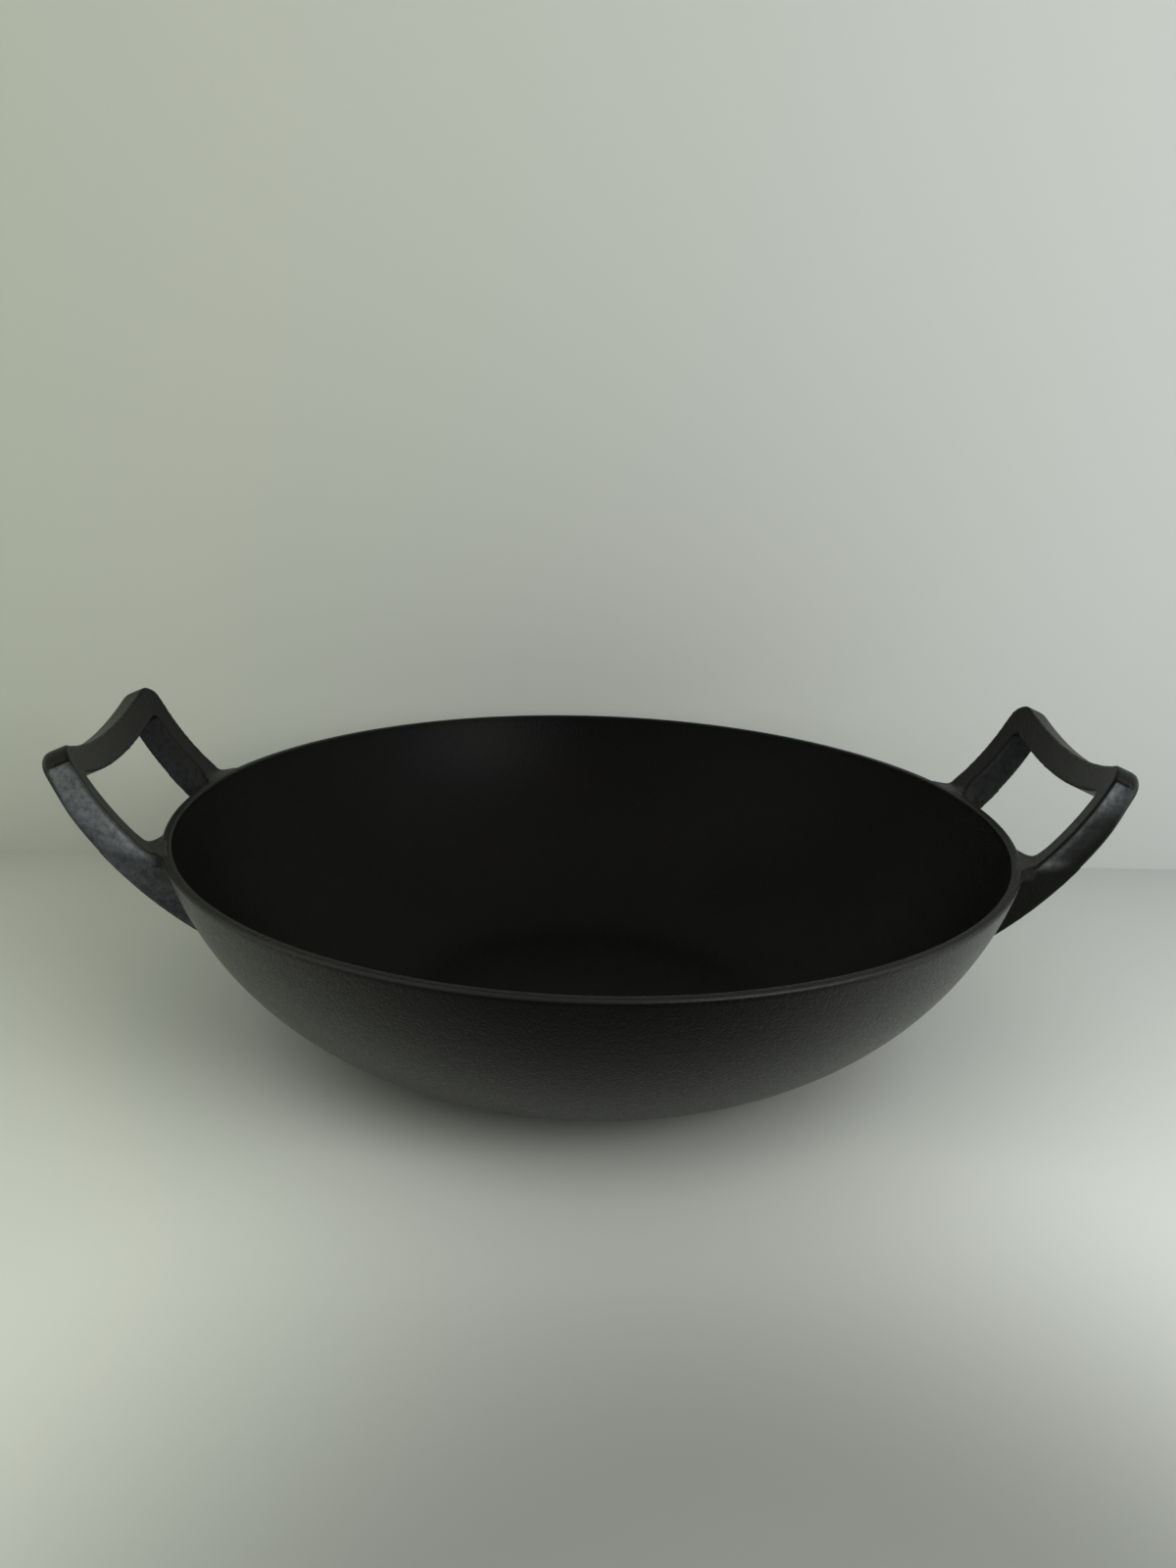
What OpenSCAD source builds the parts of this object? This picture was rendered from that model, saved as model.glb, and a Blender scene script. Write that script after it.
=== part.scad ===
// Cast iron wok with a flat bottom and two raised loop handles.
// The origin is the centre of the flat bottom. +Z is up, and the handles stand on the X axis.
// The real wok is one casting, so its sections meet face to face and share their surfaces.

/* [Bowl] */
// Outside diameter of the rim
rim_d = 356; // [330:1:390]
// Height of the rim above the surface that the wok stands on
bowl_h = 93; // [86:1:100]
// Diameter of the flat bottom as a share of the rim's
base_share = 0.421; // [0.36:0.001:0.46]
// Bulge of the wall's outside curve as a share of the straight line from bottom to rim
bulge_share = 0.149; // [0.12:0.001:0.18]
// Thickness of the wall
wall_t = 3.9; // [3:0.1:5]
// Thickness of the flat bottom
base_t = 4.5; // [3.5:0.1:6]
// Radius of the blend between floor and wall as a share of the wall's inside curve
floor_blend_share = 0.5; // [0.3:0.01:0.7]
// Height where the lower wall meets the middle wall
low_joint_h = 15; // [12:1:20]
// Height where the middle wall meets the upper wall
high_joint_h = 42; // [34:1:50]

/* [Rim] */
// Depth of the rim's band below its top edge
rim_band_h = 8; // [5:0.5:12]
// Radius of the two edges of the rim
rim_edge_r = 1.1; // [0.6:0.1:1.4]

/* [Handles] */
// Width of a handle over both arms
handle_w = 114; // [104:1:124]
// Width of one arm, across its flange
arm_w = 10.5; // [9:0.5:13]
// Height of the grip's corners above the rim
handle_rise = 40.4; // [36:0.2:46]
// Height of the grip at its corners, measured along its leaning inner side
grip_h = 13.1; // [10:0.1:15]
// Lean of the handle's outline away from upright, in degrees
grip_lean = 24; // [18:1:30]
// Radius of the handle's two outer corners
corner_r = 8.5; // [6:0.5:12]
// Radius of the finger opening's two upper corners
opening_corner_r = 2.5; // [2:0.5:5]
// How far the middle of the grip's top edge dips below its ends
top_dip = 6.6; // [4:0.1:8]
// How far the middle of the grip's lower edge dips below its ends
low_dip = 5.6; // [4:0.1:8]

/* [Arms] */
// Width of the flat landing between the rim's edge and a handle's inner face
landing_w = 4.4; // [2:0.1:6]
// Slope of a handle's inner face where it leaves the landing, in degrees
face_slope = 44.8; // [40:0.1:50]
// Radius of the inner face's curve, seen from the side
face_curve_r = 123.5; // [110:0.5:140]
// Depth of an arm from its inner to its outer face, level with the rim
arm_depth = 18; // [16:0.1:21]
// Slope of a handle's outer face level with the rim, in degrees
back_slope = 52.6; // [49:0.1:56]
// Radius of the outer face's curve, seen from the side
back_curve_r = 154; // [140:0.5:170]
// Thickness of the flange along the arm's inner face
flange_t = 2.6; // [2:0.1:4]
// Depth of the hollow behind the flange, on each side of an arm
side_hollow = 0.8; // [0.5:0.1:1.5]
// Height of the solid cap above each outer hollow
cap_h = 6; // [5:0.5:9]

/* [Roots] */
// Radius of the fillets between the rim and an arm, seen from above
root_fillet_r = 10; // [6:0.5:12]
// Depth of those fillets below the rim's level
root_fillet_t = 5; // [3:0.5:7]

/* [Hidden] */
$fn = 180;
iron = "#242424";

rim_r = rim_d / 2;
base_r = rim_r * base_share;

// Outside curve of the wall: an arc from the edge of the flat bottom to the rim's outer edge.
chord = [rim_r - base_r, bowl_h];
chord_length = norm(chord);
outer_r = chord_length * (1 + 4 * pow(bulge_share, 2)) / (8 * bulge_share);
arc_to_chord = outer_r - chord_length * bulge_share;
centre = [
    (rim_r + base_r) / 2 - arc_to_chord * chord[1] / chord_length,
    bowl_h / 2 + arc_to_chord * chord[0] / chord_length
];

// Inside curve: the same centre, one wall's thickness in, blended into the flat floor.
inner_r = outer_r - wall_t;
rim_inside_r = centre[0] + sqrt(pow(inner_r, 2) - pow(centre[1] - bowl_h, 2));
blend_r = inner_r * floor_blend_share;
blend_z = base_t + blend_r;
blend_run = inner_r - blend_r;
floor_r = centre[0] + sqrt(pow(blend_run, 2) - pow(centre[1] - blend_z, 2));
touch_z = centre[1] - (centre[1] - blend_z) * inner_r / blend_run;

// Inner and outer faces of a handle, seen from the side: two arcs, turned about the bowl's axis.
face_start = rim_r + landing_w;
face_centre = [
    face_start - face_curve_r * sin(face_slope),
    bowl_h + face_curve_r * cos(face_slope)
];
back_centre = [
    face_start + arm_depth - back_curve_r * sin(back_slope),
    bowl_h + back_curve_r * cos(back_slope)
];

// Where the inner face passes the grip's upper corners.
corner_half_w = handle_w / 2 - corner_r;
corner_z = bowl_h + handle_rise;
corner_reach = face_centre[0] + sqrt(pow(face_curve_r, 2) - pow(corner_z - face_centre[1], 2));
corner_x = sqrt(pow(corner_reach, 2) - pow(corner_half_w, 2));

// The handle's outline lies in a leaning plane through the grip's two upper corners.
opening_half_w = handle_w / 2 - arm_w;
dip_chord_w = corner_half_w;
top_dip_r = (pow(dip_chord_w, 2) + pow(top_dip, 2)) / (2 * top_dip);
low_chord_w = opening_half_w - opening_corner_r;
low_dip_r = (pow(low_chord_w, 2) + pow(low_dip, 2)) / (2 * low_dip);
// The grip ends here, below the corners of the opening and the dip between them.
grip_reach = grip_h + opening_corner_r + low_dip;

// Cuts run this far past the faces that they open.
overrun = 2;
// The outline's drop is long enough to pass the lowest point of the roots.
outline_drop = bowl_h + handle_rise;
outline_depth = rim_r;

// Section of the space that the bowl's outside surface encloses.
module outside_section() {
    intersection() {
        union() {
            translate(centre) circle(r = outer_r);
            square([base_r, bowl_h]);
        }
        square([rim_r, bowl_h]);
    }
}

// Section of the hollow inside the bowl.
module inside_section() {
    translate([0, base_t]) square([floor_r, bowl_h]);
    translate([floor_r, blend_z]) circle(r = blend_r);
    intersection() {
        translate(centre) circle(r = inner_r);
        translate([0, touch_z]) square([rim_r, bowl_h]);
    }
}

module outside_space() {
    rotate_extrude() outside_section();
}

// Spandrel that rounds one edge of the rim: side is 1 for the outer edge and -1 for the inner.
module edge_spandrel(edge_x, side) {
    centre_x = edge_x - side * rim_edge_r;
    difference() {
        translate([side > 0 ? centre_x : centre_x - rim_edge_r - overrun, bowl_h - rim_edge_r])
            square([rim_edge_r + overrun, rim_edge_r + overrun]);
        translate([centre_x, bowl_h - rim_edge_r]) circle(r = rim_edge_r);
    }
}

module base() {
    color(iron) rotate_extrude() square([floor_r, base_t]);
}

// The band of the bowl's wall between two heights, outside the flat floor.
module wall_ring(low, high) {
    color(iron) rotate_extrude() difference() {
        intersection() {
            outside_section();
            translate([floor_r, low]) square([rim_r, high - low]);
        }
        inside_section();
    }
}

module lower_wall() {
    wall_ring(0, low_joint_h);
}

module middle_wall() {
    wall_ring(low_joint_h, high_joint_h);
}

module upper_wall() {
    wall_ring(high_joint_h, bowl_h - rim_band_h);
}

module rim() {
    color(iron) rotate_extrude() difference() {
        intersection() {
            outside_section();
            translate([0, bowl_h - rim_band_h]) square([rim_r, rim_band_h]);
        }
        inside_section();
        edge_spandrel(rim_r, 1);
        edge_spandrel(rim_inside_r, -1);
    }
}

// Section of a handle from the side, between its inner and outer faces.
module handle_section() {
    difference() {
        translate(back_centre) circle(r = back_curve_r);
        translate(face_centre) circle(r = face_curve_r);
    }
}

// Section of the part of a handle that lies behind the flange.
module web_section() {
    difference() {
        translate([0, bowl_h - overrun]) square([rim_d, bowl_h]);
        translate(face_centre) circle(r = face_curve_r + flange_t);
    }
}

// Section of the roots: everything inside the outer face, up to the rim's level.
module root_section() {
    intersection() {
        translate(back_centre) circle(r = back_curve_r);
        square([rim_d, bowl_h]);
    }
}

// Turns a side section about the bowl's axis, as far in as the handle's roots reach.
module turned() {
    rotate_extrude() intersection() {
        children();
        translate([rim_r / 2, 0]) square([rim_r, corner_z + overrun]);
    }
}

// Places a flat outline, drawn across and up, in the grip's leaning plane and gives it depth.
module leaning(depth) {
    translate([corner_x, 0, corner_z]) rotate([0, grip_lean, 0])
        translate([-depth / 2, 0, 0]) rotate([90, 0, 90]) linear_extrude(depth) children();
}

// Outline of the whole handle, with its upper corners at height zero.
module handle_outline() {
    difference() {
        union() {
            translate([-handle_w / 2, -outline_drop]) square([handle_w, outline_drop - corner_r]);
            translate([-corner_half_w, -outline_drop]) square([2 * corner_half_w, outline_drop]);
            for (side = [-1, 1]) translate([side * corner_half_w, -corner_r]) circle(r = corner_r);
        }
        translate([0, top_dip_r - top_dip]) circle(r = top_dip_r, $fn = 720);
    }
}

// Outline of the finger opening and of the gap between the two roots under it.
module opening_outline() {
    difference() {
        union() {
            translate([-opening_half_w, -outline_drop - overrun])
                square([2 * opening_half_w, outline_drop + overrun - grip_h - opening_corner_r]);
            translate([-low_chord_w, -outline_drop - overrun])
                square([2 * low_chord_w, outline_drop + overrun - grip_h]);
            for (side = [-1, 1]) translate([side * low_chord_w, -grip_h - opening_corner_r])
                circle(r = opening_corner_r);
        }
        translate([0, -grip_h + low_dip_r - low_dip]) circle(r = low_dip_r, $fn = 720);
    }
}

// Hollows beside the web: both sides of both arms, from the rim's level up to the cap and grip.
module side_hollows() {
    intersection() {
        turned() web_section();
        leaning(outline_depth) union() {
            for (side = [-1, 1]) {
                translate([side * handle_w / 2 - side_hollow, -outline_drop])
                    square([2 * side_hollow, outline_drop - cap_h]);
                translate([side * opening_half_w - side_hollow, -outline_drop])
                    square([2 * side_hollow, outline_drop - grip_h - opening_corner_r]);
            }
        }
    }
}

// Plan of the fillet between the rim's outer edge and one side of an arm.
module fillet_plan(line, away) {
    centre_y = line + away * root_fillet_r;
    centre_x = sqrt(pow(rim_r + root_fillet_r, 2) - pow(centre_y, 2));
    touch_share = rim_r / (rim_r + root_fillet_r);
    touch = [centre_x * touch_share, centre_y * touch_share];
    rim_corner_x = sqrt(pow(rim_r, 2) - pow(line, 2));
    inner_y = line - away * overrun;
    inner_x = min(rim_corner_x, touch[0]) - overrun;
    difference() {
        polygon([[inner_x, inner_y], [centre_x, inner_y], [centre_x, line], touch, [inner_x, touch[1]]]);
        translate([centre_x, centre_y]) circle(r = root_fillet_r);
    }
}

// The outline with its finger opening, as deep as the handle's faces need.
module outline_body() {
    leaning(outline_depth) difference() {
        handle_outline();
        opening_outline();
    }
}

// The handle's frame: the grip and both arms in one.
module frame_body() {
    difference() {
        intersection() {
            turned() handle_section();
            outline_body();
        }
        side_hollows();
    }
}

// Everything level with the grip or above it, measured along the leaning plane.
module grip_region() {
    leaning(outline_depth) translate([-handle_w, -grip_reach])
        square([2 * handle_w, grip_reach + overrun]);
}

// One half of the handle's space: side is -1 or 1 across the handle.
module half_region(side, low, high) {
    translate([0, side > 0 ? 0 : -handle_w, low]) cube([rim_d, handle_w, high - low]);
}

module grip() {
    color(iron) intersection() {
        frame_body();
        grip_region();
    }
}

module arm(side) {
    color(iron) difference() {
        intersection() {
            frame_body();
            half_region(side, bowl_h, corner_z + overrun);
        }
        grip_region();
    }
}

module root(side) {
    color(iron) difference() {
        union() {
            intersection() {
                turned() root_section();
                outline_body();
                half_region(side, 0, bowl_h + overrun);
            }
            translate([0, 0, bowl_h - root_fillet_t]) linear_extrude(root_fillet_t) union() {
                fillet_plan(side * handle_w / 2, side);
                fillet_plan(side * opening_half_w, -side);
            }
        }
        outside_space();
    }
}

module on_left() {
    rotate([0, 0, 180]) children();
}

base();
lower_wall();
middle_wall();
upper_wall();
rim();
grip();  // right_grip
arm(-1);  // right_front_arm
arm(1);  // right_rear_arm
root(-1);  // right_front_root
root(1);  // right_rear_root
on_left() grip();  // left_grip
on_left() arm(1);  // left_front_arm
on_left() arm(-1);  // left_rear_arm
on_left() root(1);  // left_front_root
on_left() root(-1);  // left_rear_root
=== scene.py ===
"""Cast iron wok: the dressed model, laid out as an add-on and run as a script."""

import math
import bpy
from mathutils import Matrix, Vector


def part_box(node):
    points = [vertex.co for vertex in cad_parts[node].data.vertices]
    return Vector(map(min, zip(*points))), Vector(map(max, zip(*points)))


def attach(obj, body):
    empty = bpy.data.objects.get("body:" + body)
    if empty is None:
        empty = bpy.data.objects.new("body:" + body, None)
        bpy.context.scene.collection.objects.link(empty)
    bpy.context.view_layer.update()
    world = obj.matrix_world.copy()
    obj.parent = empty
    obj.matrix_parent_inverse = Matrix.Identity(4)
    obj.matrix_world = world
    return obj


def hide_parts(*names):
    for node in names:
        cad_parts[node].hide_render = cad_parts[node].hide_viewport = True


bl_info = {
    "name": "Cast Iron Wok",
    "version": (1, 0, 0),
    "blender": (4, 5, 0),
    "location": "View3D > Sidebar > Wok",
    "description": "Builds a flat-bottomed cast iron wok with two loop handles",
    "category": "Add Mesh",
}

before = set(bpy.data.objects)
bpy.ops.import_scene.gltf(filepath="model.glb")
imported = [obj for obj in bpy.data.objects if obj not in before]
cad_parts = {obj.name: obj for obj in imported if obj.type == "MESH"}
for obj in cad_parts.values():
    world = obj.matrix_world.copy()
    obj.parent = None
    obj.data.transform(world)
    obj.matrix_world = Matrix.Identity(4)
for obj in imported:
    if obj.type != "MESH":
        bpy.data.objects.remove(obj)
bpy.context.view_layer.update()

import bmesh
import bpy
import numpy as np
from mathutils import Matrix, Vector

BOWL_NODES = ("base", "lower_wall", "middle_wall", "upper_wall", "rim")
HANDLE_PARTS = ("grip", "front_arm", "rear_arm", "front_root", "rear_root")
RIM_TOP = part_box("rim")[1].z
GRIP_LOW, GRIP_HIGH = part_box("right_grip")

# Points closer than MERGE are one, and a length is never divided by less than TINY.
MERGE = 1e-6
TINY = 1e-9


# ------------------------------------------------------------------ sizes


class WokBowlSizes(bpy.types.PropertyGroup):
    """Sizes of the bowl, in metres."""

    rim_radius: bpy.props.FloatProperty(
        name="Rim radius",
        description="Outside radius of the rim",
        default=0.178,
        unit="LENGTH",
    )
    height: bpy.props.FloatProperty(
        name="Height",
        description="Height of the rim above the table",
        default=RIM_TOP,
        unit="LENGTH",
    )
    base_radius: bpy.props.FloatProperty(
        name="Base radius",
        description="Radius of the flat bottom",
        default=0.07494,
        unit="LENGTH",
    )
    bulge: bpy.props.FloatProperty(
        name="Bulge",
        description="Bulge of the wall as a share of its chord",
        default=0.149,
    )
    wall: bpy.props.FloatProperty(
        name="Wall",
        description="Thickness of the wall",
        default=0.0039,
        unit="LENGTH",
    )
    floor: bpy.props.FloatProperty(
        name="Floor",
        description="Thickness of the flat bottom",
        default=0.0045,
        unit="LENGTH",
    )
    blend: bpy.props.FloatProperty(
        name="Blend",
        description="Radius of the blend to the floor as a share of the wall's",
        default=0.5,
    )
    edge_radius: bpy.props.FloatProperty(
        name="Edge radius",
        description="Radius of the rim's two edges",
        default=0.0011,
        unit="LENGTH",
    )
    base_edge: bpy.props.FloatProperty(
        name="Base edge",
        description="Radius of the edge of the flat bottom",
        default=0.0022,
        unit="LENGTH",
    )
    steps: bpy.props.IntProperty(
        name="Steps",
        description="Faces around the bowl",
        default=288,
        min=24,
    )


class WokHandleSizes(bpy.types.PropertyGroup):
    """Sizes of a handle, in metres and radians."""

    width: bpy.props.FloatProperty(
        name="Width",
        description="Width over both arms",
        default=GRIP_HIGH.y - GRIP_LOW.y,
        unit="LENGTH",
    )
    arm: bpy.props.FloatProperty(
        name="Arm",
        description="Width of one arm",
        default=0.0105,
        unit="LENGTH",
    )
    rise: bpy.props.FloatProperty(
        name="Rise",
        description="Height of the grip's corners above the rim",
        default=0.0404,
        unit="LENGTH",
    )
    landing: bpy.props.FloatProperty(
        name="Landing",
        description="Width of the level strip between rim and arm",
        default=0.0044,
        unit="LENGTH",
    )
    depth: bpy.props.FloatProperty(
        name="Depth",
        description="Depth of an arm at the rim's level",
        default=0.018,
        unit="LENGTH",
    )
    face_curve: bpy.props.FloatProperty(
        name="Face curve",
        description="Radius of the inner face, from the landing up to the grip",
        default=0.1235,
        unit="LENGTH",
    )
    face_slope: bpy.props.FloatProperty(
        name="Face slope",
        description="Slope of the inner face at the rim's level",
        default=math.radians(44.8),
        unit="ROTATION",
    )
    back_curve: bpy.props.FloatProperty(
        name="Back curve",
        description="Radius of the outer face, from the wall up to the grip",
        default=0.154,
        unit="LENGTH",
    )
    back_slope: bpy.props.FloatProperty(
        name="Back slope",
        description="Slope of the outer face at the rim's level",
        default=math.radians(52.6),
        unit="ROTATION",
    )
    lean: bpy.props.FloatProperty(
        name="Lean",
        description="Lean of the outline away from upright",
        default=math.radians(24),
        unit="ROTATION",
    )
    corner: bpy.props.FloatProperty(
        name="Corner",
        description="Radius of the outer corners",
        default=0.0085,
        unit="LENGTH",
    )
    grip: bpy.props.FloatProperty(
        name="Grip",
        description="Height of the grip at its corners",
        default=0.0131,
        unit="LENGTH",
    )
    hollow: bpy.props.FloatProperty(
        name="Hollow",
        description="Depth of the hollow behind the flange",
        default=0.0008,
        unit="LENGTH",
    )
    fillet: bpy.props.FloatProperty(
        name="Fillet",
        description="Radius of the fillets between arm and rim",
        default=0.010,
        unit="LENGTH",
    )
    top_dip: bpy.props.FloatProperty(
        name="Top dip",
        description="Dip of the grip's top edge",
        default=0.0066,
        unit="LENGTH",
    )
    flange: bpy.props.FloatProperty(
        name="Flange",
        description="Thickness of the flange along the inner face",
        default=0.0012,
        unit="LENGTH",
    )
    cap: bpy.props.FloatProperty(
        name="Cap",
        description="Height of the solid cap above an outer hollow",
        default=0.005,
        unit="LENGTH",
    )
    back_round: bpy.props.FloatProperty(
        name="Back round",
        description="Radius over the grip's outer top edge",
        default=0.0045,
        unit="LENGTH",
    )
    overlap: bpy.props.FloatProperty(
        name="Overlap",
        description="Swelling that joins the sections",
        default=0.00008,
        unit="LENGTH",
    )
    voxel: bpy.props.FloatProperty(
        name="Voxel",
        description="Grain of the remesh that joins arm and bowl",
        default=0.0006,
        unit="LENGTH",
    )


class WokFinish(bpy.types.PropertyGroup):
    """Colours and surface of the seasoned iron."""

    iron: bpy.props.FloatVectorProperty(
        name="Iron",
        description="Colour of the seasoned iron",
        default=(0.0034, 0.0035, 0.0032),
        subtype="COLOR",
    )
    cooking: bpy.props.FloatVectorProperty(
        name="Cooking surface",
        description="Colour of the inside",
        default=(0.0030, 0.0031, 0.0028),
        subtype="COLOR",
    )
    worn: bpy.props.FloatVectorProperty(
        name="Ground",
        description="Colour of the ground arm sides",
        default=(0.30, 0.32, 0.34),
        subtype="COLOR",
    )
    grain: bpy.props.FloatProperty(
        name="Grain",
        description="Size of the casting's sandy grain",
        default=0.0012,
        unit="LENGTH",
    )


class WokStage(bpy.types.PropertyGroup):
    """Camera, table, backdrop and light."""

    lens: bpy.props.FloatProperty(
        name="Lens",
        description="Focal length",
        default=29.468,
        unit="CAMERA",
    )
    place: bpy.props.FloatVectorProperty(
        name="Place",
        description="Camera position",
        default=(-0.02266, -0.52722, 0.26820),
        subtype="TRANSLATION",
    )
    turn: bpy.props.FloatVectorProperty(
        name="Turn",
        description="Camera rotation",
        default=(math.radians(72.9712), math.radians(-1.6444), math.radians(-1.7144)),
        subtype="EULER",
    )
    wall_y: bpy.props.FloatProperty(
        name="Wall",
        description="Distance of the backdrop behind the wok's axis",
        default=0.194,
        unit="LENGTH",
    )
    # The left tint is greener and darker than the right one; its darker tone is painted
    # shade, and the right one's lighter tone is painted light.
    left_tint_and_shade: bpy.props.FloatVectorProperty(
        name="Left tint",
        description="Colour of table and backdrop on the left",
        default=(0.70, 0.74, 0.62),
        subtype="COLOR",
    )
    right_tint_and_light: bpy.props.FloatVectorProperty(
        name="Right tint",
        description="Colour of table and backdrop on the right",
        default=(0.78, 0.81, 0.78),
        subtype="COLOR",
    )
    lamp_place: bpy.props.FloatVectorProperty(
        name="Lamp place",
        description="Position of the soft lamp",
        default=(0.9, -1.1, 0.75),
        subtype="TRANSLATION",
    )
    lamp_size: bpy.props.FloatProperty(
        name="Lamp size",
        description="Width of the soft lamp",
        default=0.8,
        unit="LENGTH",
    )
    lamp_power: bpy.props.FloatProperty(
        name="Lamp power",
        description="Power of the soft lamp, in watts",
        default=8.0,
    )
    room: bpy.props.FloatVectorProperty(
        name="Room",
        description="Colour of the room's light",
        default=(1.0, 1.0, 1.0),
        subtype="COLOR",
    )
    room_light: bpy.props.FloatProperty(
        name="Room light",
        description="Strength of the room's light",
        default=1.1,
    )


# ---------------------------------------------------------------- helpers


def link_mesh(name, bm):
    """Turns a bmesh into a smooth object at the origin."""
    mesh = bpy.data.meshes.new(name)
    bm.to_mesh(mesh)
    bm.free()
    mesh.polygons.foreach_set("use_smooth", [True] * len(mesh.polygons))
    piece = bpy.data.objects.new(name, mesh)
    bpy.context.scene.collection.objects.link(piece)
    return piece


def check_closed(bm, name):
    """Stops the build if an edge of a skin hasn't two faces."""
    if any(len(e.link_faces) != 2 for e in bm.edges):
        raise RuntimeError(f"the skin of the {name} isn't closed")


def fade(value, low, high):
    """0 at low, 1 at high, with level ends."""
    t = np.clip((value - low) / (high - low), 0, 1)
    return t * t * (3 - 2 * t)


def arc_points(centre, radius, start, end, count):
    """Points of an arc in a plane, from one angle to another."""
    return [
        (
            centre[0] + radius * math.cos(start + (end - start) * i / count),
            centre[1] + radius * math.sin(start + (end - start) * i / count),
        )
        for i in range(count + 1)
    ]


def hanging_arc(x, z, radius, angles):
    """Points about a centre in a plane, at angles from straight down."""
    return [(x + radius * math.sin(a), z - radius * math.cos(a)) for a in angles]


class Section:
    """The bowl's section: two arcs with one centre, a floor and a blend."""

    def __init__(self, b):
        chord = (b.rim_radius - b.base_radius, b.height)
        length = math.hypot(*chord)
        self.outer = length * (1 + 4 * b.bulge**2) / (8 * b.bulge)
        stand = self.outer - length * b.bulge
        self.cx = (b.rim_radius + b.base_radius) / 2 - stand * chord[1] / length
        self.cz = b.height / 2 + stand * chord[0] / length
        self.inner = self.outer - b.wall
        self.blend = self.inner * b.blend
        self.blend_z = b.floor + self.blend
        run = self.inner - self.blend
        self.floor_x = self.cx + math.sqrt(run**2 - (self.cz - self.blend_z) ** 2)
        self.touch = math.acos((self.cz - self.blend_z) / run)

    def arc(self, radius, angles):
        """Points about the centre of the wall, at angles from straight down."""
        return hanging_arc(self.cx, self.cz, radius, angles)

    def radius_at(self, z, inset):
        """Radius, at a height, of a surface set in from the outer one."""
        square = (self.outer - inset) ** 2 - (z - self.cz) ** 2
        return self.cx + math.sqrt(max(square, 0))


class Graph:
    """Adds linked nodes to the tree of a material or of the world."""

    def __init__(self, tree):
        self.nodes, self.links = tree.nodes, tree.links

    def feed(self, socket, value):
        """Links an output to a socket, or sets a plain value on it."""
        if isinstance(value, bpy.types.NodeSocket):
            self.links.new(value, socket)
        else:
            socket.default_value = value

    def noise(self, place, size, detail, weight):
        """Noise of a size in metres; the weight is that of its finer layers."""
        node = self.nodes.new("ShaderNodeTexNoise")
        node.inputs["Scale"].default_value = 1 / size
        node.inputs["Detail"].default_value = detail
        node.inputs["Roughness"].default_value = weight
        self.links.new(place, node.inputs["Vector"])
        return node.outputs["Fac"]

    def ramp(self, value, low, high, start, end, smooth=False):
        """Runs from start to end while the value runs from low to high."""
        node = self.nodes.new("ShaderNodeMapRange")
        if smooth:
            node.interpolation_type = "SMOOTHSTEP"
        node.inputs["From Min"].default_value = low
        node.inputs["From Max"].default_value = high
        node.inputs["To Min"].default_value = start
        node.inputs["To Max"].default_value = end
        self.links.new(value, node.inputs["Value"])
        return node.outputs["Result"]

    def mix(self, factor, a, b):
        """One colour at factor 0 and another at 1."""
        node = self.nodes.new("ShaderNodeMix")
        node.data_type = "RGBA"
        self.links.new(factor, node.inputs["Factor"])
        for name, value in (("A", a), ("B", b)):
            if not isinstance(value, bpy.types.NodeSocket):
                value = (*value, 1)
            colours = [i for i in node.inputs if i.name == name and i.type == "RGBA"]
            self.feed(colours[0], value)
        return [o for o in node.outputs if o.type == "RGBA"][0]

    def calculate(self, operation, *values):
        """The result of an operation on single values."""
        node = self.nodes.new("ShaderNodeMath")
        node.operation = operation
        for socket, value in zip(node.inputs, values):
            self.feed(socket, value)
        return node.outputs["Value"]

    def vector(self, operation, *values):
        """The node of an operation on vectors."""
        node = self.nodes.new("ShaderNodeVectorMath")
        node.operation = operation
        for socket, value in zip(node.inputs, values):
            self.feed(socket, value)
        return node


# ------------------------------------------------------------------- iron

# Sizes of the casting's marks, in metres: pits as a share of the grain, clouds of
# tone, the spacing of dust and the mottle of the ground sides.
PITS_SHARE = 3.4
CLOUDS = 0.045
DUST_SPACING = 0.012
MOTTLE = 0.0028

# A browner cloud and a lighter grain, as factors on the iron's colour.
BROWNER = (1.25, 1.12, 0.98)
LIGHTER = 9
DUST_COLOUR = (0.10, 0.10, 0.09)

# The grain changes the roughness this much either way, and this power evens out the
# mottle of the ground sides.
ROUGH_SPREAD = 0.06
MOTTLE_POWER = 0.7

# Height of both bumps in metres, and how strongly each of them shows.
BUMP_HEIGHT = 0.0004
GRAIN_BUMP = 0.55
PITS_BUMP = 0.16

# The four looks of the iron. The gloss is the oil's index of refraction, and the tint
# is how much of that gloss is left.
OUTSIDE_LOOK = {"rough": 0.29, "gloss": 1.42, "tint": 0.06, "dust": 0.3}
INSIDE_LOOK = {"rough": 0.34, "gloss": 1.18, "tint": 0.60}
EDGE_LOOK = {"rough": 0.34, "gloss": 1.5, "tint": 0.5}
HANDLE_LOOK = {"rough": 0.42, "gloss": 1.42, "tint": 0.14, "ground": True}


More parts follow.
